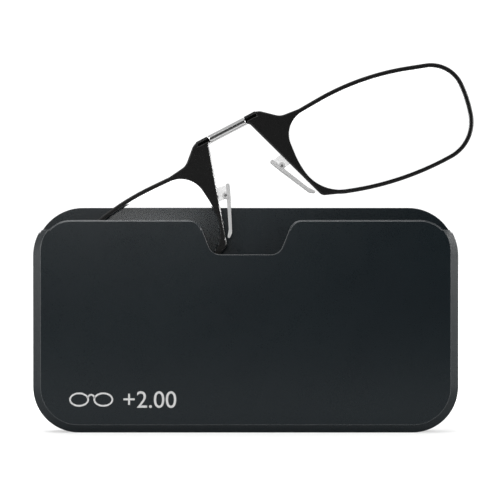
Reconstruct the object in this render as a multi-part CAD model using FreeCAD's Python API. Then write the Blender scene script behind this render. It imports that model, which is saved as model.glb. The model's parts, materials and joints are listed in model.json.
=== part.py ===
import FreeCAD, Part

import math
import os

from FreeCAD import Vector

# Armless reading glasses with a sprung wire bridge, drawn half out of their flat stick-on case.
# Millimetres. +X right, +Y back, +Z up. The case stands on its long edge; the origin is on that
# edge's flat face, at the middle of its length and of the pocket's depth.

# ---- driving dimensions: the case ----
CASE_WIDTH = 105.8
CASE_HEIGHT = 56.0
CASE_TOP_RADIUS = 12.0
CASE_FOOT_RADIUS = 11.4
POCKET_DEPTH = 3.0
WALL = 1.0
SIDE_WALL = 2.05
FOOT_WALL = 2.6
BEVEL_DEPTH = 1.2
BEVEL_INSET = 2.1
PANEL_TOP_INSET = 3.2
PANEL_TOP_RADIUS = 7.4
SHOULDER_HEIGHT = 50.4
MOUTH_RADIUS = 2.0
SHOULDER_RADIUS = 1.2
SHOULDER_INSET = 1.6
SHOULDER_SLOPE = 4.4
NOTCH_FLOOR = 44.25
NOTCH_HALF_TOP = 11.8
NOTCH_HALF_FLOOR = 8.4
NOTCH_RADIUS = 3.1
EDGE_BREAK = 0.3
PAD_MARGIN = 8.0
PAD_RADIUS = 6.0
PAD_THICKNESS = 0.8
LINER_THICKNESS = 0.15
LINER_TAB_WIDTH = 14.0
LINER_TAB_REACH = 4.0
LINER_TAB_RADIUS = 2.0

# ---- driving dimensions: the glasses ----
BRIDGE_X = -4.8
BRIDGE_Z = 75.6
BRIDGE_TILT = 27.84
RIM_THICKNESS = 2.0
RIM_WIDTH = 1.0
RIM_CHAMFER = 0.25
GROOVE_DEPTH = 0.35
GROOVE_WIDTH = 0.7
LENS_GAP = 0.03
LENS_BACK = 0.6
LENS_SHOULDER = 0.35
LENS_FRONT = 0.85
LENS_BEVEL = 0.5
LENS_RADIUS = 900.0
WIRE_AXIS = -0.35
WIRE_RADIUS = 1.0
TANG_RADIUS = 0.65
TANG_REACH = 7.9
WIRE_PLAY = 0.07
FERRULE_RADIUS = 1.05
FERRULE_START = 5.25
FERRULE_END = 8.7
FERRULE_NOSE = 0.7
TONGUE_THICKNESS = 1.0
PAD_BLADE_WIDTH = 2.6
PAD_SLOT_WIDTH = 1.3
PAD_SLOT_RADIUS = 0.95
PAD_LUG_RADIUS = 0.85
PIVOT_U = 7.9
PIVOT_W = -14.6
PIN_RADIUS = 0.32
PIN_PLAY = 0.05

# Outlines of one half of the glasses, as corners (u, w, corner radius). u runs outward along
# the bridge from its middle and w is square to it, upward.
LENS_CORNERS = [
    (13.0, -5.2, 6.5),
    (35.5, -4.3, 64.5),
    (56.7, -11.6, 7.8),
    (56.3, -21.2, 29.3),
    (53.2, -31.6, 9.3),
    (32.4, -32.0, 74.5),
    (13.0, -24.9, 10.6),
    (12.0, -15.6, 20.7),
]
NOSE_PLATE_CORNERS = [
    (5.3, 0.6, 0.3),
    (9.05, 0.4, 3.0),
    (13.35, -3.45, 3.5),
    (20.0, -4.2, 0.0),
    (20.0, -8.0, 0.0),
    (18.6, -27.9, 0.0),
    (13.4, -25.8, 1.8),
    (5.85, -1.8, 1.2),
    (5.2, -0.9, 0.4),
]
TONGUE_CORNERS = [
    (10.3, -11.7, 0.0),
    (6.15, -12.5, 0.3),
    (7.2, -14.9, 0.4),
    (7.9, -15.3, 0.4),
    (11.1, -14.9, 0.0),
]
NOSE_PAD_CORNERS = [
    (5.7, -12.4, 0.3),
    (6.5, -12.05, 0.3),
    (11.15, -22.4, 1.0),
    (12.35, -24.0, 0.2),
    (12.1, -24.5, 0.2),
    (10.9, -23.7, 1.2),
    (7.1, -15.7, 2.0),
]
PAD_SLOT_CORNERS = [
    (4.5, -11.0, 0.0),
    (9.9, -11.0, 0.0),
    (9.9, -15.1, 0.0),
    (PIVOT_U, PIVOT_W, 0.0),
    (6.2, -15.1, 0.0),
    (4.5, -15.1, 0.0),
]

FRONT = -POCKET_DEPTH / 2 - WALL
BACK = POCKET_DEPTH / 2 + WALL
HALF_POCKET = POCKET_DEPTH / 2
HALF_RIM = RIM_THICKNESS / 2
HALF_CASE = CASE_WIDTH / 2
PANEL_TOP = CASE_HEIGHT - PANEL_TOP_INSET

# How far a cutting shape runs past what it cuts, and how near two places count as one.
OVERRUN = 1.0
SAME_PLACE = 1e-6


def rounded_outline(corners, y=0.0):
    """Closed wire in an XZ plane: straight sides joined by tangent arcs of each corner's radius."""
    points = [Vector(x, y, z) for x, z, _ in corners]
    starts = []
    ends = []
    middles = []
    for i, (_, _, radius) in enumerate(corners):
        corner = points[i]
        before = (points[i - 1] - corner).normalize()
        after = (points[(i + 1) % len(points)] - corner).normalize()
        half_angle = before.getAngle(after) / 2
        reach = radius / math.tan(half_angle)
        starts.append(corner + before * reach)
        ends.append(corner + after * reach)
        toward_centre = (before + after).normalize()
        depth = radius / math.sin(half_angle) - radius
        middles.append(corner + toward_centre * depth)
    edges = []
    for i, (_, _, radius) in enumerate(corners):
        if radius > 0:
            edges.append(Part.Arc(starts[i], middles[i], ends[i]).toShape())
        following = starts[(i + 1) % len(corners)]
        if ends[i].distanceToPoint(following) > SAME_PLACE:
            edges.append(Part.LineSegment(ends[i], following).toShape())
    return Part.Wire(edges)


def slab(wire, y_front, y_back):
    """Solid between two planes square to Y, with the outline of a wire drawn at y = 0."""
    face = Part.Face(wire)
    face.translate(Vector(0, y_front, 0))
    return face.extrude(Vector(0, y_back - y_front, 0))


def tapered_slab(wire_front, y_front, wire_back, y_back):
    """Solid whose straight sides run from one outline to another."""
    front = wire_front.copy()
    front.translate(Vector(0, y_front, 0))
    back = wire_back.copy()
    back.translate(Vector(0, y_back, 0))
    return Part.makeLoft([front, back], True, True)


def grown(corners, distance):
    """An outline's corners moved outward by a distance, or inward when it is negative."""
    area = 0.0
    for i, (x, z, _) in enumerate(corners):
        area += corners[i - 1][0] * z - x * corners[i - 1][1]
    turning = math.copysign(1.0, area)
    result = []
    for i, (x, z, radius) in enumerate(corners):
        corner = Vector(x, 0, z)
        last = corners[i - 1]
        following = corners[(i + 1) % len(corners)]
        before = (Vector(last[0], 0, last[1]) - corner).normalize()
        after = (Vector(following[0], 0, following[1]) - corner).normalize()
        bulge = math.copysign(1.0, turning * (after.x * before.z - after.z * before.x))
        outward = (before + after).normalize() * -bulge
        moved = corner + outward * (distance / math.sin(before.getAngle(after) / 2))
        new_radius = max(radius + bulge * distance, 0.0) if radius > 0 else 0.0
        result.append((moved.x, moved.z, new_radius))
    return result


def lens_outline(distance=0.0):
    """The lens opening's outline, grown by a distance."""
    return rounded_outline(grown(LENS_CORNERS, distance))


def joined(first, *others):
    """One solid from several that touch or overlap, with the seams between coplanar faces removed."""
    return first.fuse(list(others)).removeSplitter().Solids[0]


def bevelled_slab(corners, half_thickness, bevel):
    """Slab centred on y = 0 whose edges are bevelled on both faces."""
    outline = rounded_outline(corners)
    inner = rounded_outline(grown(corners, -bevel))
    shoulder = half_thickness - bevel
    middle = slab(outline, -shoulder, shoulder)
    front = tapered_slab(inner, -half_thickness, outline, -shoulder)
    back = tapered_slab(outline, shoulder, inner, half_thickness)
    return joined(middle, front, back)


def rod_y(u, w, radius, length):
    """Round rod along Y, centred on the glasses' middle plane."""
    return Part.makeCylinder(radius, length, Vector(u, -length / 2, w), Vector(0, 1, 0))


def rod_u(start, end, radius):
    """Round rod along the bridge, on the wire's axis."""
    return Part.makeCylinder(radius, end - start, Vector(start, 0, WIRE_AXIS), Vector(1, 0, 0))


def break_edges(solid, size, wanted):
    """Chamfer the edges that a test picks by their middle point."""
    edges = [edge for edge in solid.Edges if wanted(edge.CenterOfMass)]
    return solid.makeChamfer(size, edges)


# ---- the case ----


def case_outline(side_inset=0.0, foot_inset=0.0, top_inset=0.0, top_radius=None):
    half = HALF_CASE - side_inset
    top = CASE_HEIGHT - top_inset
    round_top = CASE_TOP_RADIUS - side_inset if top_radius is None else top_radius
    round_foot = CASE_FOOT_RADIUS - side_inset
    return rounded_outline([
        (-half, foot_inset, round_foot),
        (half, foot_inset, round_foot),
        (half, top, round_top),
        (-half, top, round_top),
    ])


def make_back_plate():
    plate = slab(case_outline(), HALF_POCKET, BACK)
    return break_edges(plate, EDGE_BREAK, lambda middle: abs(middle.y - BACK) < SAME_PLACE)


def panel_outline():
    return case_outline(BEVEL_INSET, BEVEL_INSET, PANEL_TOP_INSET, PANEL_TOP_RADIUS)


def notch_outline():
    wide = NOTCH_HALF_TOP + 2 * NOTCH_RADIUS
    above = CASE_HEIGHT + OVERRUN
    return rounded_outline([
        (-NOTCH_HALF_FLOOR, NOTCH_FLOOR, NOTCH_RADIUS),
        (NOTCH_HALF_FLOOR, NOTCH_FLOOR, NOTCH_RADIUS),
        (NOTCH_HALF_TOP, PANEL_TOP, NOTCH_RADIUS),
        (wide, PANEL_TOP, 0.0),
        (wide, above, 0.0),
        (-wide, above, 0.0),
        (-wide, PANEL_TOP, 0.0),
        (-NOTCH_HALF_TOP, PANEL_TOP, NOTCH_RADIUS),
    ])


def pocket_outline():
    """Open-topped hollow, flared by a quarter round at each side of its mouth."""
    inner = HALF_CASE - SIDE_WALL
    flare = SHOULDER_HEIGHT - MOUTH_RADIUS
    outer = inner + MOUTH_RADIUS
    above = CASE_HEIGHT + OVERRUN
    round_foot = CASE_FOOT_RADIUS - SIDE_WALL
    cut_mouth = MOUTH_RADIUS * (1 - math.cos(math.pi / 4))
    half = Part.Arc(
        Vector(inner, 0, flare),
        Vector(inner + cut_mouth, 0, SHOULDER_HEIGHT - cut_mouth),
        Vector(outer, 0, SHOULDER_HEIGHT),
    ).toShape()
    mirrored = half.mirror(Vector(), Vector(1, 0, 0))
    cut_foot = round_foot * (1 - math.cos(math.pi / 4))
    corner = Part.Arc(
        Vector(inner, 0, FOOT_WALL + round_foot),
        Vector(inner - cut_foot, 0, FOOT_WALL + cut_foot),
        Vector(inner - round_foot, 0, FOOT_WALL),
    ).toShape()
    mirrored_corner = corner.mirror(Vector(), Vector(1, 0, 0))
    lines = [
        (Vector(inner, 0, FOOT_WALL + round_foot), Vector(inner, 0, flare)),
        (Vector(outer, 0, SHOULDER_HEIGHT), Vector(outer, 0, above)),
        (Vector(outer, 0, above), Vector(-outer, 0, above)),
        (Vector(-outer, 0, above), Vector(-outer, 0, SHOULDER_HEIGHT)),
        (Vector(-inner, 0, flare), Vector(-inner, 0, FOOT_WALL + round_foot)),
        (Vector(-inner + round_foot, 0, FOOT_WALL), Vector(inner - round_foot, 0, FOOT_WALL)),
    ]
    edges = [half, mirrored, corner, mirrored_corner]
    for start, end in lines:
        edges.append(Part.LineSegment(start, end).toShape())
    return Part.Wire(Part.__sortEdges__(edges))


def make_panel(notch):
    """The flat front, with the front edge broken along its top and round the notch."""
    panel = slab(panel_outline(), FRONT, -HALF_POCKET).cut(notch).Solids[0]
    lowest = NOTCH_FLOOR - EDGE_BREAK
    return break_edges(
        panel, EDGE_BREAK, lambda middle: abs(middle.y - FRONT) < SAME_PLACE and middle.z > lowest)


def make_front_cover():
    """Foot, side walls and front in one shell: the walls stop at the shoulders, the front goes on up."""
    bevel_start = FRONT + BEVEL_DEPTH
    walls = slab(case_outline(), bevel_start, HALF_POCKET)
    bevel = tapered_slab(panel_outline(), FRONT, case_outline(), bevel_start)
    far = HALF_CASE + OVERRUN
    below_shoulders = rounded_outline([
        (-far, -OVERRUN, 0.0),
        (far, -OVERRUN, 0.0),
        (far, SHOULDER_HEIGHT - SHOULDER_SLOPE, 0.0),
        (HALF_CASE - SHOULDER_INSET, SHOULDER_HEIGHT, SHOULDER_RADIUS),
        (-HALF_CASE + SHOULDER_INSET, SHOULDER_HEIGHT, SHOULDER_RADIUS),
        (-far, SHOULDER_HEIGHT - SHOULDER_SLOPE, 0.0),
    ])
    lower = joined(walls, bevel).common(slab(below_shoulders, FRONT - OVERRUN, BACK))
    lower = lower.cut(slab(pocket_outline(), -HALF_POCKET, BACK))
    notch = slab(notch_outline(), FRONT - OVERRUN, BACK)
    return joined(lower.cut(notch).Solids[0], make_panel(notch))


def pad_outline():
    half = HALF_CASE - PAD_MARGIN
    return rounded_outline([
        (-half, PAD_MARGIN, PAD_RADIUS),
        (half, PAD_MARGIN, PAD_RADIUS),
        (half, CASE_HEIGHT - PAD_MARGIN, PAD_RADIUS),
        (-half, CASE_HEIGHT - PAD_MARGIN, PAD_RADIUS),
    ])


def make_adhesive_pad():
    return slab(pad_outline(), BACK, BACK + PAD_THICKNESS)


def make_release_liner():
    face = BACK + PAD_THICKNESS
    sheet = slab(pad_outline(), face, face + LINER_THICKNESS)
    top = CASE_HEIGHT - PAD_MARGIN
    inner = HALF_CASE - PAD_MARGIN - PAD_RADIUS - LINER_TAB_WIDTH
    tab = slab(rounded_outline([
        (inner, top - LINER_TAB_REACH, 0.0),
        (inner + LINER_TAB_WIDTH, top - LINER_TAB_REACH, 0.0),
        (inner + LINER_TAB_WIDTH, top + LINER_TAB_REACH, LINER_TAB_RADIUS),
        (inner, top + LINER_TAB_REACH, LINER_TAB_RADIUS),
    ]), face, face + LINER_THICKNESS)
    return joined(sheet, tab)


# ---- one half of the glasses, drawn as the right-hand half ----


def make_tongue():
    half = TONGUE_THICKNESS / 2
    tongue = slab(rounded_outline(TONGUE_CORNERS), -half, half)
    return tongue.cut(rod_y(PIVOT_U, PIVOT_W, PIN_RADIUS, PAD_BLADE_WIDTH))


def ferrule_body(start):
    """Round bar with a rounded nose at its outer end."""
    body = rod_u(start, FERRULE_END, FERRULE_RADIUS)
    nose = [edge for edge in body.Edges if abs(edge.CenterOfMass.x - FERRULE_END) < SAME_PLACE]
    return body.makeFillet(FERRULE_NOSE, nose)


def make_ferrule(play):
    bore = rod_u(FERRULE_START - OVERRUN, TANG_REACH + play, TANG_RADIUS + play)
    return ferrule_body(FERRULE_START).cut(bore)


def make_wire():
    """Wire with a turned-down tang at each end. It is fixed in the left ferrule and free in the right."""
    wire = rod_u(-FERRULE_START, FERRULE_START - WIRE_PLAY, WIRE_RADIUS)
    return joined(wire, rod_u(-TANG_REACH, TANG_REACH, TANG_RADIUS))


def make_rim():
    ring = bevelled_slab(grown(LENS_CORNERS, RIM_WIDTH), HALF_RIM, RIM_CHAMFER)
    plate = bevelled_slab(NOSE_PLATE_CORNERS, HALF_RIM, RIM_CHAMFER)
    rim = joined(ring, plate)
    rim = rim.cut(slab(lens_outline(), -HALF_RIM - OVERRUN, HALF_RIM + OVERRUN))
    half_groove = GROOVE_WIDTH / 2
    rim = rim.cut(slab(lens_outline(GROOVE_DEPTH), -half_groove, half_groove))
    half = TONGUE_THICKNESS / 2
    rim = rim.cut(slab(rounded_outline(TONGUE_CORNERS), -half, half))
    return rim.cut(ferrule_body(FERRULE_START - OVERRUN))


def make_lens():
    outline = lens_outline(-LENS_GAP)
    inner = lens_outline(-LENS_GAP - LENS_BEVEL)
    half_ridge = GROOVE_WIDTH / 2 - LENS_GAP
    ridge = slab(lens_outline(GROOVE_DEPTH - LENS_GAP), -half_ridge, half_ridge)
    body = slab(outline, -LENS_SHOULDER, LENS_BACK)
    front = tapered_slab(inner, -LENS_FRONT, outline, -LENS_SHOULDER)
    lens = joined(body, front, ridge)
    centre = lens.CenterOfMass
    dome = Part.makeSphere(LENS_RADIUS, Vector(centre.x, LENS_RADIUS - LENS_FRONT, centre.z))
    return lens.common(dome)


def make_pin():
    return rod_y(PIVOT_U, PIVOT_W, PIN_RADIUS, PAD_BLADE_WIDTH)


def make_nose_pad():
    half = PAD_BLADE_WIDTH / 2
    blade = slab(rounded_outline(NOSE_PAD_CORNERS), -half, half)
    pad = joined(blade, rod_y(PIVOT_U, PIVOT_W, PAD_LUG_RADIUS, PAD_BLADE_WIDTH))
    half_slot = PAD_SLOT_WIDTH / 2
    slot = slab(rounded_outline(PAD_SLOT_CORNERS), -half_slot, half_slot)
    slot = slot.fuse(rod_y(PIVOT_U, PIVOT_W, PAD_SLOT_RADIUS, PAD_SLOT_WIDTH))
    pad = pad.cut(slot)
    return pad.cut(rod_y(PIVOT_U, PIVOT_W, PIN_RADIUS + PIN_PLAY, PAD_BLADE_WIDTH + OVERRUN))


def place(shape):
    """Turn and move a shape from the bridge's own frame to where the glasses are drawn to."""
    placed = shape.copy()
    placed.rotate(Vector(), Vector(0, 1, 0), -BRIDGE_TILT)
    placed.translate(Vector(BRIDGE_X, 0, BRIDGE_Z))
    return placed


def mirrored(shape):
    return shape.mirror(Vector(), Vector(1, 0, 0))


def make_parts():
    parts = {
        "pod_back_plate": make_back_plate(),
        "pod_front_cover": make_front_cover(),
        "adhesive_pad": make_adhesive_pad(),
        "release_liner": make_release_liner(),
        "bridge_wire": place(make_wire()),
        "left_wire_ferrule": place(mirrored(make_ferrule(0.0))),
        "right_wire_ferrule": place(make_ferrule(WIRE_PLAY)),
    }
    paired = {
        "rim": make_rim(),
        "lens": make_lens(),
        "pad_bracket": make_tongue(),
        "nose_pad": make_nose_pad(),
        "pad_pin": make_pin(),
    }
    for name, shape in paired.items():
        parts["right_" + name] = place(shape)
        parts["left_" + name] = place(mirrored(shape))
    return parts


def main():
    os.makedirs("parts", exist_ok=True)
    for name, shape in make_parts().items():
        box = shape.BoundBox
        print(f"{name}: valid {shape.isValid()}, solids {len(shape.Solids)}, volume {shape.Volume:.1f},",
              f"x {box.XMin:.2f}..{box.XMax:.2f} y {box.YMin:.2f}..{box.YMax:.2f}",
              f"z {box.ZMin:.2f}..{box.ZMax:.2f}")
        shape.exportStep(f"parts/{name}.step")


main()
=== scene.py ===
import json
import math

import bmesh
import bpy
from mathutils import Matrix, Vector


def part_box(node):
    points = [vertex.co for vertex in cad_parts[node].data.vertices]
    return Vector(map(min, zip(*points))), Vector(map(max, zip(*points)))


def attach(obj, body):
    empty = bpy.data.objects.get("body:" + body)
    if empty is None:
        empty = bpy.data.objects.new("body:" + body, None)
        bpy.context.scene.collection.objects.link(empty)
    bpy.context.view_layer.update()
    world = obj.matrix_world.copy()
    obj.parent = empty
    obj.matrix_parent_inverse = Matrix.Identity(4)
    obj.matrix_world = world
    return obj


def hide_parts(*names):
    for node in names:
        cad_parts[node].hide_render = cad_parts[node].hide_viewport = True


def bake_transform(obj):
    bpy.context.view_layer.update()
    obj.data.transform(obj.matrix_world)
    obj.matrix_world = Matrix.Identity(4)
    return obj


# Finishes, fine pieces and studio for armless reading glasses drawn half out of their stick-on case.
# Metres. +X right, +Y back, +Z up. The case stands on the floor at z = 0 and faces -Y.

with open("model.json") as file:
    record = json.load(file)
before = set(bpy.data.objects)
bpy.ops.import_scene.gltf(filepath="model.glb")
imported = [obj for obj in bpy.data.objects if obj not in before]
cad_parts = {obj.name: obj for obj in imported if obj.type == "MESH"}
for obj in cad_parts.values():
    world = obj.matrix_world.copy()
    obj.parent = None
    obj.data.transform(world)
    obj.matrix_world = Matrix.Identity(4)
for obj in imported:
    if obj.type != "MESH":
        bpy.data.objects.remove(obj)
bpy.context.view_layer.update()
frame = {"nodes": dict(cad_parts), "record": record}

MM = 0.001


# ---- node helpers ----


def add(tree, kind, inputs=None, **settings):
    """A new node. Inputs are values or sockets by name; settings are the node's own properties."""
    node = tree.nodes.new(kind)
    for name, value in settings.items():
        setattr(node, name, value)
    for name, value in (inputs or {}).items():
        if isinstance(value, bpy.types.NodeSocket):
            tree.links.new(value, node.inputs[name])
        else:
            node.inputs[name].default_value = value
    return node


def times(tree, value, factor):
    return add(tree, "ShaderNodeMath", {0: value, 1: factor}, operation="MULTIPLY").outputs[0]


def plus(tree, value, other):
    return add(tree, "ShaderNodeMath", {0: value, 1: other}, operation="ADD").outputs[0]


def ranged(tree, value, low, high, out_low, out_high):
    """A value taken from one range to another, held at the ends."""
    node = add(tree, "ShaderNodeMapRange", {
        "Value": value, "From Min": low, "From Max": high, "To Min": out_low, "To Max": out_high})
    return node.outputs["Result"]


def mixed(tree, factor, first, second):
    """A colour between two others."""
    node = add(tree, "ShaderNodeMix", {0: factor, 6: first, 7: second}, data_type="RGBA")
    return node.outputs[2]


def bumped(tree, height, strength, depth, normal=None):
    """A normal raised by a height, over the plain surface or over another normal."""
    inputs = {"Height": height, "Strength": strength, "Distance": depth}
    if normal is not None:
        inputs["Normal"] = normal
    return add(tree, "ShaderNodeBump", inputs).outputs[0]


def grey(value):
    return (value, value, value, 1.0)


def new_group(name, inputs, outputs):
    """An empty shader group. Its inputs are (name, type, value) and its outputs (name, type)."""
    tree = bpy.data.node_groups.new(name, "ShaderNodeTree")
    for label, kind, value in inputs:
        socket = tree.interface.new_socket(name=label, in_out="INPUT", socket_type=kind)
        if value is not None:
            socket.default_value = value
    for label, kind in outputs:
        tree.interface.new_socket(name=label, in_out="OUTPUT", socket_type=kind)
    source = tree.nodes.new("NodeGroupInput")
    sink = tree.nodes.new("NodeGroupOutput")
    return tree, source.outputs, sink.inputs


def use_group(tree, group, inputs):
    return add(tree, "ShaderNodeGroup", inputs, node_tree=group).outputs


def new_finish(name, **sockets):
    """A material with its Principled shader's plain sockets set, and its Object coordinates."""
    material = bpy.data.materials.new(name)
    material.use_nodes = True
    tree = material.node_tree
    shader = tree.nodes["Principled BSDF"]
    for label, value in sockets.items():
        shader.inputs[label.replace("_", " ")].default_value = value
    place = add(tree, "ShaderNodeTexCoord").outputs["Object"]
    return material, tree, shader, place


def dress(tree, shader, colour, rough, normal):
    """Joins a finish's colour, roughness and normal to its shader."""
    tree.links.new(colour, shader.inputs["Base Color"])
    tree.links.new(rough, shader.inputs["Roughness"])
    tree.links.new(normal, shader.inputs["Normal"])


# ---- shared effects ----


def make_mould_grain():
    """Fine spark-eroded texture of moulded plastic, with a slow change of tone."""
    tree, given, result = new_group(
        "mould_grain",
        [("Vector", "NodeSocketVector", None), ("Grain", "NodeSocketFloat", 9000.0)],
        [("Height", "NodeSocketFloat"), ("Tone", "NodeSocketFloat")],
    )
    fine = add(tree, "ShaderNodeTexNoise", {
        "Vector": given["Vector"], "Scale": given["Grain"], "Detail": 2.0, "Roughness": 0.6})
    pits = add(tree, "ShaderNodeTexVoronoi", {
        "Vector": given["Vector"], "Scale": times(tree, given["Grain"], 0.55)}, feature="SMOOTH_F1")
    slow = add(tree, "ShaderNodeTexNoise", {
        "Vector": given["Vector"], "Scale": 45.0, "Detail": 3.0, "Roughness": 0.5})
    tree.links.new(plus(tree, fine.outputs[0], times(tree, pits.outputs[0], 0.7)), result["Height"])
    tree.links.new(slow.outputs[0], result["Tone"])
    return tree


def make_handling():
    """Where hands and the pocket have rubbed, from 0 to 1."""
    tree, given, result = new_group(
        "handling",
        [("Vector", "NodeSocketVector", None), ("Size", "NodeSocketFloat", 60.0)],
        [("Smear", "NodeSocketFloat")],
    )
    smear = add(tree, "ShaderNodeTexNoise", {
        "Vector": given["Vector"], "Scale": given["Size"], "Detail": 5.0, "Roughness": 0.62,
        "Distortion": 1.6})
    tree.links.new(ranged(tree, smear.outputs[0], 0.42, 0.7, 0.0, 1.0), result["Smear"])
    return tree


def make_soft_edge():
    """Rounds an edge's shading by a small radius, and says how near to an edge a point is."""
    tree, given, result = new_group(
        "soft_edge",
        [("Radius", "NodeSocketFloat", 0.15 * MM)],
        [("Normal", "NodeSocketVector"), ("Edge", "NodeSocketFloat")],
    )
    rounded = add(tree, "ShaderNodeBevel", {"Radius": given["Radius"]}, samples=6)
    flat = add(tree, "ShaderNodeNewGeometry")
    facing = add(tree, "ShaderNodeVectorMath", {
        0: rounded.outputs[0], 1: flat.outputs["Normal"]}, operation="DOT_PRODUCT")
    tree.links.new(rounded.outputs[0], result["Normal"])
    tree.links.new(ranged(tree, facing.outputs["Value"], 0.9995, 0.93, 0.0, 1.0), result["Edge"])
    return tree


mould_grain = make_mould_grain()
handling = make_handling()
soft_edge = make_soft_edge()


# ---- finishes ----

CASE_GRAIN = 7000.0
CASE_GRAIN_DEPTH = 0.004 * MM
CLEAR_DENSITY = 300.0


def finish_moulded(name, dark, light, painted_edge_highlight, grain, grain_depth, rough, edge_radius, specular):
    """Dyed moulded plastic: fine texture, slow tone, rubbed shine, and a painted highlight: edges
    painted paler than the body.
    """
    material, tree, shader, place = new_finish(name, Specular_IOR_Level=specular)
    texture = use_group(tree, mould_grain, {"Vector": place, "Grain": grain})
    rubbed = use_group(tree, handling, {"Vector": place})
    edge = use_group(tree, soft_edge, {"Radius": edge_radius})
    body = mixed(tree, ranged(tree, texture["Tone"], 0.35, 0.65, 0.0, 1.0), dark, light)
    # Painted highlight: the colour turns paler near the edges.
    colour = mixed(tree, times(tree, edge["Edge"], 0.8), body, painted_edge_highlight)
    matt = plus(tree, ranged(tree, texture["Height"], 0.4, 1.1, rough - 0.03, rough + 0.03),
                times(tree, rubbed["Smear"], -0.02))
    dress(tree, shader, colour, matt, bumped(tree, texture["Height"], 0.6, grain_depth, edge["Normal"]))
    return material


def finish_case_shell():
    # Its pale edge colour is a painted highlight.
    return finish_moulded(
        "case_shell", dark=(0.0028, 0.0054, 0.0072, 1.0), light=(0.0035, 0.0065, 0.0083, 1.0),
        painted_edge_highlight=(0.2, 0.205, 0.21, 1.0), grain=CASE_GRAIN, grain_depth=CASE_GRAIN_DEPTH,
        rough=0.29, edge_radius=0.2 * MM, specular=0.28)


def finish_rim_black():
    # Its pale edge colour is a painted highlight.
    return finish_moulded(
        "rim_black", dark=grey(0.007), light=grey(0.0088), painted_edge_highlight=grey(0.04), grain=11000.0,
        grain_depth=0.0008 * MM, rough=0.28, edge_radius=0.18 * MM, specular=0.32)


def finish_ferrule_black():
    """Dead black enamel with a trace of orange peel."""
    material, tree, shader, place = new_finish("ferrule_black", Specular_IOR_Level=0.01)
    peel = add(tree, "ShaderNodeTexNoise", {"Vector": place, "Scale": 2200.0, "Detail": 1.0})
    rubbed = use_group(tree, handling, {"Vector": place, "Size": 300.0})
    edge = use_group(tree, soft_edge, {"Radius": 0.1 * MM})
    # Painted highlight: the edges are a shade paler than the rest.
    colour = mixed(tree, edge["Edge"], grey(0.0015), grey(0.003))
    rough = ranged(tree, rubbed["Smear"], 0.0, 1.0, 0.3, 0.4)
    dress(tree, shader, colour, rough, bumped(tree, peel.outputs[0], 0.3, 0.003 * MM, edge["Normal"]))
    return material


def finish_bridge_metal():
    """Polished spring wire with faint lines drawn along it. Its own UV map runs along the wire."""
    material, tree, shader, _ = new_finish("bridge_metal", Metallic=1.0)
    along = add(tree, "ShaderNodeUVMap", uv_map="along").outputs[0]
    drawn = add(tree, "ShaderNodeMapping", {"Vector": along, "Scale": (3.0, 90.0, 1.0)})
    lines = add(tree, "ShaderNodeTexNoise", {
        "Vector": drawn.outputs[0], "Scale": 1.0, "Detail": 3.0}).outputs[0]
    colour = mixed(tree, lines, grey(0.66), grey(0.76))
    rough = ranged(tree, lines, 0.3, 0.7, 0.09, 0.2)
    dress(tree, shader, colour, rough, bumped(tree, lines, 0.25, 0.002 * MM))
    return material


def finish_lens_clear():
    """Hard-coated clear polycarbonate, polished, with a very slight wave in its surface."""
    material, tree, shader, place = new_finish(
        "lens_clear", Base_Color=(0.985, 0.99, 0.99, 1.0), Roughness=0.0, IOR=1.5,
        Transmission_Weight=1.0)
    wave = add(tree, "ShaderNodeTexNoise", {"Vector": place, "Scale": 60.0, "Detail": 1.0})
    tree.links.new(bumped(tree, wave.outputs[0], 0.1, 0.01 * MM), shader.inputs["Normal"])
    return material


def finish_clear_plastic(name, dark, light, painted_edge_shade, rough, clearness):
    """Clear soft plastic, faintly frosted, greyer where it is thicker, with painted shade greying its
    edges.
    """
    material, tree, shader, place = new_finish(name, IOR=1.45, Transmission_Weight=clearness)
    texture = use_group(tree, mould_grain, {"Vector": place, "Grain": 20000.0})
    edge = use_group(tree, soft_edge, {"Radius": 0.15 * MM})
    body = mixed(tree, texture["Tone"], dark, light)
    # Painted shade: the colour turns grey near the edges.
    colour = mixed(tree, edge["Edge"], body, painted_edge_shade)
    matt = ranged(tree, texture["Height"], 0.4, 1.1, rough, rough + 0.1)
    dress(tree, shader, colour, matt, bumped(tree, texture["Height"], 0.3, 0.0005 * MM, edge["Normal"]))
    tint = add(tree, "ShaderNodeVolumeAbsorption", {"Color": grey(0.5), "Density": CLEAR_DENSITY})
    tree.links.new(tint.outputs[0], tree.nodes["Material Output"].inputs["Volume"])
    return material


def finish_pin_metal():
    """Cropped steel wire."""
    material, tree, shader, place = new_finish("pin_metal", Metallic=1.0)
    texture = use_group(tree, mould_grain, {"Vector": place, "Grain": 14000.0})
    edge = use_group(tree, soft_edge, {"Radius": 0.08 * MM})
    colour = mixed(tree, texture["Tone"], grey(0.3), grey(0.42))
    rough = ranged(tree, texture["Height"], 0.4, 1.1, 0.3, 0.45)
    dress(tree, shader, colour, rough, bumped(tree, texture["Height"], 0.5, 0.002 * MM, edge["Normal"]))
    return material


def finish_adhesive_foam():
    """Closed-cell foam tape: small cells, some open where it was cut."""
    material, tree, shader, place = new_finish("adhesive_foam")
    cells = add(tree, "ShaderNodeTexVoronoi", {"Vector": place, "Scale": 4200.0})
    coarse = add(tree, "ShaderNodeTexNoise", {"Vector": place, "Scale": 700.0, "Detail": 4.0})
    height = plus(tree, cells.outputs["Distance"], times(tree, coarse.outputs[0], 0.6))
    colour = mixed(tree, cells.outputs["Distance"], grey(0.02), (0.055, 0.055, 0.06, 1.0))
    rough = ranged(tree, coarse.outputs[0], 0.3, 0.7, 0.7, 0.9)
    dress(tree, shader, colour, rough, bumped(tree, height, 0.9, 0.06 * MM))
    return material


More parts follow.
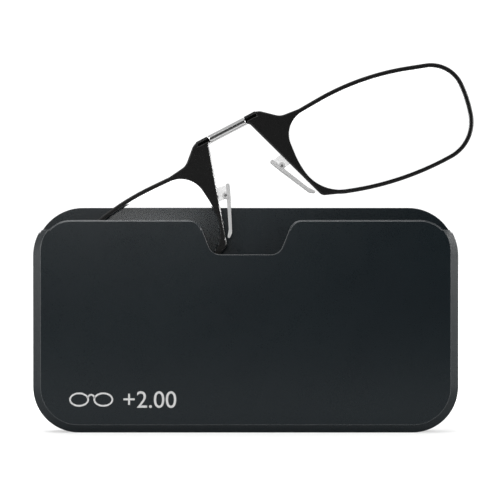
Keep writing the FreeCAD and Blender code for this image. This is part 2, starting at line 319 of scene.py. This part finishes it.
def finish_liner_paper():
    """Waxed release paper: long fibres under a light sheen."""
    material, tree, shader, place = new_finish("liner_paper")
    spread = add(tree, "ShaderNodeMapping", {"Vector": place, "Scale": (900.0, 900.0, 260.0)})
    fibre = add(tree, "ShaderNodeTexNoise", {
        "Vector": spread.outputs[0], "Scale": 1.0, "Detail": 6.0, "Distortion": 2.0})
    cloud = add(tree, "ShaderNodeTexNoise", {"Vector": place, "Scale": 120.0, "Detail": 4.0})
    tone = plus(tree, times(tree, fibre.outputs[0], 0.5), times(tree, cloud.outputs[0], 0.5))
    colour = mixed(tree, ranged(tree, tone, 0.38, 0.62, 0.0, 1.0),
                   (0.62, 0.57, 0.46, 1.0), (0.76, 0.72, 0.62, 1.0))
    rough = ranged(tree, tone, 0.4, 0.6, 0.38, 0.55)
    dress(tree, shader, colour, rough, bumped(tree, fibre.outputs[0], 0.5, 0.02 * MM))
    return material


def finish_case_print():
    """Pale grey pad-printed ink, thin enough to show the moulded texture."""
    material, tree, shader, place = new_finish("case_print")
    texture = use_group(tree, mould_grain, {"Vector": place, "Grain": CASE_GRAIN})
    colour = mixed(tree, ranged(tree, texture["Height"], 0.5, 1.0, 0.0, 1.0), grey(0.42), grey(0.56))
    rough = ranged(tree, texture["Tone"], 0.3, 0.7, 0.45, 0.6)
    dress(tree, shader, colour, rough, bumped(tree, texture["Height"], 0.5, CASE_GRAIN_DEPTH))
    return material


finishes = {
    "case_shell": finish_case_shell(),
    "adhesive_foam": finish_adhesive_foam(),
    "liner_paper": finish_liner_paper(),
    "bridge_metal": finish_bridge_metal(),
    "ferrule_black": finish_ferrule_black(),
    "rim_black": finish_rim_black(),
    "lens_clear": finish_lens_clear(),
    "pad_clear": finish_clear_plastic(
        "pad_clear", dark=grey(0.46), light=grey(0.54), painted_edge_shade=grey(0.38), rough=0.15,
        clearness=0.25),
    "tab_clear": finish_clear_plastic(
        "tab_clear", dark=grey(0.84), light=grey(0.9), painted_edge_shade=grey(0.4), rough=0.04,
        clearness=0.85),
    "pin_metal": finish_pin_metal(),
    "case_print": finish_case_print(),
}

# Clear parts let the lights through to what is behind them.
for part in frame["record"]["subparts"]:
    node = frame["nodes"][part["node"]]
    slot = part["material_slot"]
    node.material_slots[0].material = finishes[slot]
    if slot.endswith("_clear"):
        node.visible_shadow = False


# ---- pieces ----


def new_piece(name, shape, slot):
    """A finished bmesh as an object, in its slot's finish."""
    mesh = bpy.data.meshes.new(name)
    shape.to_mesh(mesh)
    shape.free()
    piece = bpy.data.objects.new(name, mesh)
    bpy.context.scene.collection.objects.link(piece)
    mesh.materials.append(finishes[slot])
    return piece


def middle_of(node):
    low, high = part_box(node)
    return (low + high) / 2


def points_in(items):
    """The vertices among what a bmesh operator made."""
    return [item for item in items if isinstance(item, bmesh.types.BMVert)]


def runs_back(edge):
    """Whether an edge runs along Y."""
    return abs((edge.verts[0].co - edge.verts[1].co).normalized().y) > 0.5


FERRULE_LENGTH = 3.45 * MM
WIRE_RADIUS = 1.0 * MM
WIRE_END_GAP = 0.04 * MM
WIRE_STEPS = 40
WIRE_SIDES = 40
TANG_RADIUS = 0.64 * MM
TANG_LENGTH = 2.6 * MM


def map_along(shape, length):
    """UV map of a round bar on the Z axis: its length runs along U and its girth along V."""
    layer = shape.loops.layers.uv.new("along")
    for face in shape.faces:
        start = min(math.atan2(loop.vert.co.y, loop.vert.co.x) for loop in face.loops)
        for loop in face.loops:
            turn = math.atan2(loop.vert.co.y, loop.vert.co.x)
            if turn - start > math.pi:
                turn -= 2 * math.pi
            loop[layer].uv = (loop.vert.co.z / length, turn / (2 * math.pi))


def make_bridge_rod():
    """The sprung wire between the two ferrules, in short steps so that it can bend.
    A thinner tang at each end goes into its ferrule."""
    left = middle_of("left_wire_ferrule")
    right = middle_of("right_wire_ferrule")
    middle = (left + right) / 2
    along = (right - left).normalized()
    free = (right - left).length / 2 - FERRULE_LENGTH / 2
    shoulder = free - WIRE_END_GAP
    reach = shoulder + TANG_LENGTH
    step = 2 * shoulder / WIRE_STEPS
    stages = [(TANG_LENGTH, 1), (0, WIRE_RADIUS / TANG_RADIUS)] + [(step, 1)] * WIRE_STEPS
    stages += [(0, TANG_RADIUS / WIRE_RADIUS), (TANG_LENGTH, 1)]
    shape = bmesh.new()
    bmesh.ops.create_circle(shape, cap_ends=True, segments=WIRE_SIDES, radius=TANG_RADIUS)
    bmesh.ops.translate(shape, verts=shape.verts, vec=(0, 0, -reach))
    top = shape.faces[:]
    for rise, swell in stages:
        grown = bmesh.ops.extrude_face_region(shape, geom=top)["geom"]
        fresh = points_in(grown)
        bmesh.ops.scale(shape, verts=fresh, vec=(swell, swell, 1))
        bmesh.ops.translate(shape, verts=fresh, vec=(0, 0, rise))
        bmesh.ops.delete(shape, geom=top, context="FACES_ONLY")
        top = [item for item in grown if isinstance(item, bmesh.types.BMFace)]
    bmesh.ops.contextual_create(shape, geom=[edge for edge in shape.edges if edge.is_boundary])
    bmesh.ops.recalc_face_normals(shape, faces=shape.faces)
    for face in shape.faces:
        face.smooth = abs(face.normal.z) < 0.5
    map_along(shape, 2 * reach)
    turned = Vector((0, 0, 1)).rotation_difference(along).to_matrix().to_4x4()
    bmesh.ops.transform(shape, matrix=Matrix.Translation(middle) @ turned, verts=shape.verts)
    rod = new_piece("bridge_rod", shape, "bridge_metal")
    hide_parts("bridge_wire")
    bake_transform(rod)


MARK_LEFT = 9.2 * MM
MARK_FOOT = 6.6 * MM
MARK_DEPTH = 0.01 * MM
MARK_TEXT_SIZE = 5.9 * MM
MARK_LENS = (2.45 * MM, 1.75 * MM)
MARK_LINE = 0.42 * MM
MARK_BRIDGE = 0.55 * MM
MARK_SPACE = 2.2 * MM


def mark_ring(shape, centre):
    """Flat oval ring, drawn in the XY plane."""
    wide, high = MARK_LENS
    oval = bmesh.ops.create_circle(shape, segments=48, radius=1.0)["verts"]
    edges = [edge for edge in shape.edges if edge.verts[0] in oval]
    inner = points_in(bmesh.ops.extrude_edge_only(shape, edges=edges)["geom"])
    bmesh.ops.scale(shape, verts=inner, vec=(1 - MARK_LINE / wide, 1 - MARK_LINE / high, 1))
    bmesh.ops.scale(shape, verts=oval + inner, vec=(wide, high, 1))
    bmesh.ops.translate(shape, verts=oval + inner, vec=centre)


def mark_bridge(shape, centre):
    """Flat half ring between the two ovals."""
    radius = MARK_BRIDGE + MARK_LINE
    start = shape.verts.new((centre.x + radius, centre.y, 0))
    end = shape.verts.new((centre.x + radius - MARK_LINE, centre.y, 0))
    edge = shape.edges.new((start, end))
    bmesh.ops.spin(shape, geom=[start, end, edge], cent=centre, axis=(0, 0, 1),
                   angle=math.pi, steps=16, use_merge=False)


def make_case_mark():
    """Printed spectacles sign and lens power on the case's front, low at its left end."""
    low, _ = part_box("pod_front_cover")
    wide, high = MARK_LENS
    shape = bmesh.new()
    mark_ring(shape, Vector((wide, high, 0)))
    mark_ring(shape, Vector((3 * wide + 2 * MARK_BRIDGE, high, 0)))
    mark_bridge(shape, Vector((2 * wide + MARK_BRIDGE, high * 1.25, 0)))
    text = bpy.data.curves.new("case_mark_text", "FONT")
    text.body = "+2.00"
    text.size = MARK_TEXT_SIZE
    drawn = bpy.data.objects.new("case_mark_text", text)
    bpy.context.scene.collection.objects.link(drawn)
    bpy.context.view_layer.update()
    letters = bpy.data.meshes.new_from_object(drawn)
    bpy.data.objects.remove(drawn)
    letters.transform(Matrix.Translation((4 * wide + 2 * MARK_BRIDGE + MARK_SPACE, -0.15 * high, 0)))
    shape.from_mesh(letters)
    bmesh.ops.recalc_face_normals(shape, faces=shape.faces)
    upside = [face for face in shape.faces if face.normal.z < 0]
    bmesh.ops.reverse_faces(shape, faces=upside)
    raised = points_in(bmesh.ops.extrude_face_region(shape, geom=shape.faces[:])["geom"])
    bmesh.ops.translate(shape, verts=raised, vec=(0, 0, 2 * MARK_DEPTH))
    bmesh.ops.translate(shape, verts=shape.verts, vec=(0, 0, -MARK_DEPTH))
    bmesh.ops.rotate(shape, verts=shape.verts, matrix=Matrix.Rotation(math.pi / 2, 3, "X"))
    bmesh.ops.translate(shape, verts=shape.verts, vec=(low.x + MARK_LEFT, low.y, MARK_FOOT))
    bmesh.ops.recalc_face_normals(shape, faces=shape.faces)
    mark = new_piece("case_mark", shape, "case_print")
    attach(mark, "pod")


FOAM_CORNER = 6.0 * MM
FOAM_EDGE = 0.18 * MM


def make_foam_pad():
    """Die-cut foam tape with round corners, its edges crushed a little by the cut."""
    low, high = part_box("adhesive_pad")
    shape = bmesh.new()
    bmesh.ops.create_cube(shape, size=1.0)
    bmesh.ops.scale(shape, verts=shape.verts, vec=high - low)
    bmesh.ops.translate(shape, verts=shape.verts, vec=(low + high) / 2)
    corners = [edge for edge in shape.edges if runs_back(edge)]
    bmesh.ops.bevel(shape, geom=corners, offset=FOAM_CORNER, offset_type="OFFSET", segments=12,
                    profile=0.5, affect="EDGES", material=-1)
    rims = [edge for edge in shape.edges if not runs_back(edge)]
    bmesh.ops.bevel(shape, geom=rims, offset=FOAM_EDGE, offset_type="OFFSET", segments=3,
                    profile=0.5, affect="EDGES", material=-1)
    for face in shape.faces:
        face.smooth = True
    foam = new_piece("foam_pad", shape, "adhesive_foam")
    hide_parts("adhesive_pad")
    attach(foam, "pod")


make_bridge_rod()
make_case_mark()
make_foam_pad()


# ---- studio ----

CAMERA_PLACE = Vector((1.08, -270.0, 45.4)) * MM
VIEW_WIDTH = 125.0 * MM
SENSOR = 36.0


def make_camera():
    """Straight on to the case's front, about level with the foot of its notch."""
    data = bpy.data.cameras.new("camera")
    data.sensor_width = SENSOR
    data.lens = SENSOR * -CAMERA_PLACE.y / VIEW_WIDTH
    camera = bpy.data.objects.new("camera", data)
    camera.location = CAMERA_PLACE
    camera.rotation_euler = (math.pi / 2, 0, 0)
    bpy.context.scene.collection.objects.link(camera)
    bpy.context.scene.camera = camera


def seen_straight(tree):
    """1 for what the viewer sees directly or through a lens, and 0 for light that bounces."""
    ray = add(tree, "ShaderNodeLightPath").outputs
    bounces = plus(tree, ray["Diffuse Depth"], ray["Glossy Depth"])
    unbounced = add(tree, "ShaderNodeMath", {0: bounces, 1: 0.5}, operation="LESS_THAN").outputs[0]
    through = times(tree, ray["Is Transmission Ray"], unbounced)
    seen = add(tree, "ShaderNodeMath", {0: ray["Is Camera Ray"], 1: through}, operation="MAXIMUM")
    return seen.outputs[0]


FLOOR_SIZE = 3.0
CARD_EDGE = (-140.0 * MM, -100.0 * MM)
CONTACT_SHADE = (20.0 * MM, 70.0 * MM)


def make_floor():
    """White card that ends a little way in front of the case; the table beyond it is dark.
    Its own glow, seen only straight on or through a lens, is weaker near the case: painted shade, so
    that the case's shadow shows."""
    shape = bmesh.new()
    bmesh.ops.create_grid(shape, x_segments=1, y_segments=1, size=FLOOR_SIZE)
    mesh = bpy.data.meshes.new("floor")
    shape.to_mesh(mesh)
    shape.free()
    floor = bpy.data.objects.new("floor", mesh)
    bpy.context.scene.collection.objects.link(floor)
    material, tree, shader, place = new_finish("floor_card", Roughness=0.8, Emission_Strength=1.0)
    depth = add(tree, "ShaderNodeSeparateXYZ", {"Vector": place}).outputs["Y"]
    fleck = add(tree, "ShaderNodeTexNoise", {"Vector": place, "Scale": 200.0})
    white = mixed(tree, fleck.outputs[0], grey(0.41), grey(0.43))
    card = ranged(tree, depth, *CARD_EDGE, 0.0, 1.0)
    away = add(tree, "ShaderNodeMath", {0: depth}, operation="ABSOLUTE").outputs[0]
    # Painted shade: the glow fades near the case.
    glow = ranged(tree, away, *CONTACT_SHADE, 0.44, 1.05)
    tree.links.new(times(tree, seen_straight(tree), glow), shader.inputs["Emission Color"])
    tree.links.new(mixed(tree, card, grey(0.03), white), shader.inputs["Base Color"])
    mesh.materials.append(material)


BACKDROP_GLOW = 1.15
SKY_GLOW = 0.6
ROOM_TONE = 0.03
PANE_GLOW = 1.15


def make_world():
    """White all round, but for a dim room in front, where the viewer stands.
    The room has one small lit pane, a little up and to the left. The ranges are of the X, Y and Z
    of a direction one unit long."""
    world = bpy.data.worlds.new("studio")
    bpy.context.scene.world = world
    world.use_nodes = True
    tree = world.node_tree
    back = tree.nodes["Background"]
    way = add(tree, "ShaderNodeTexCoord").outputs["Generated"]
    split = add(tree, "ShaderNodeSeparateXYZ", {"Vector": way}).outputs
    side = ranged(tree, split["Y"], -0.7, -0.43, 0.0, 1.0)
    above = ranged(tree, split["Z"], 0.44, 0.58, 0.0, 1.0)
    open_sky = add(tree, "ShaderNodeMath", {0: side, 1: above}, operation="MAXIMUM").outputs[0]
    pane_right = ranged(tree, split["X"], 0.0, -0.07, 0.0, 1.0)
    pane_left = ranged(tree, split["X"], -0.4, -0.25, 0.0, 1.0)
    pane_foot = ranged(tree, split["Z"], -0.02, 0.035, 0.0, 1.0)
    pane_head = ranged(tree, split["Z"], 0.08, 0.05, 0.0, 1.0)
    pane = times(tree, times(tree, pane_right, pane_left), times(tree, pane_foot, pane_head))
    front = mixed(tree, pane, grey(ROOM_TONE), grey(PANE_GLOW))
    room = mixed(tree, open_sky, front, grey(SKY_GLOW))
    tree.links.new(mixed(tree, seen_straight(tree), room, grey(BACKDROP_GLOW)), back.inputs["Color"])


def make_softbox(name, place, aim_height, width, height, power):
    """Rectangular light turned towards the object's middle at some height."""
    data = bpy.data.lights.new(name, "AREA")
    data.shape = "RECTANGLE"
    data.size = width
    data.size_y = height
    data.energy = power
    box = bpy.data.objects.new(name, data)
    box.location = place
    box.rotation_mode = "QUATERNION"
    aim = Vector((0, 0, aim_height))
    box.rotation_quaternion = (aim - Vector(place)).to_track_quat("-Z", "Y")
    bpy.context.scene.collection.objects.link(box)
    return box


def link_light(box, names, state):
    """Keeps a softbox off some pieces (EXCLUDE), or lets it light them alone (INCLUDE)."""
    linked = bpy.data.collections.new("linked_" + box.name)
    for name in names:
        linked.objects.link(bpy.data.objects[name])
    for member in linked.collection_objects:
        member.light_linking.link_state = state
    box.light_linking.receiver_collection = linked


# Name: place, height aimed at, width, height, watts.
SOFTBOXES = {
    "left_softbox": ((-0.62, -0.36, 0.15), 0.04, 0.3, 0.5, 3.3),
    "right_softbox": ((0.62, -0.36, 0.15), 0.04, 0.3, 0.5, 2.8),
    "left_fill": ((-0.42, -0.5, 0.4), 0.04, 0.3, 0.3, 1.5),
    "right_strip": ((0.7, 0.0, 0.1), 0.06, 0.15, 0.6, 4.5),
    "top_softbox": ((-0.1, 0.02, 0.6), 0.04, 0.6, 0.5, 4.5),
    "shell_fill": ((-0.12, -0.6, 0.25), 0.04, 0.3, 0.2, 1.3),
    "rim_kicker": ((0.6, 0.12, 0.06), 0.06, 0.2, 0.3, 55.0),
}
DARK_TOPS = ["bridge_rod", "left_rim", "right_rim", "left_wire_ferrule", "right_wire_ferrule"]

make_camera()
make_floor()
make_world()
softboxes = {name: make_softbox(name, *facts) for name, facts in SOFTBOXES.items()}
link_light(softboxes["top_softbox"], DARK_TOPS, "EXCLUDE")
link_light(softboxes["shell_fill"], ["pod_back_plate", "pod_front_cover"], "INCLUDE")
link_light(softboxes["rim_kicker"], ["left_rim"], "INCLUDE")
bpy.context.scene.view_settings.view_transform = "Standard"
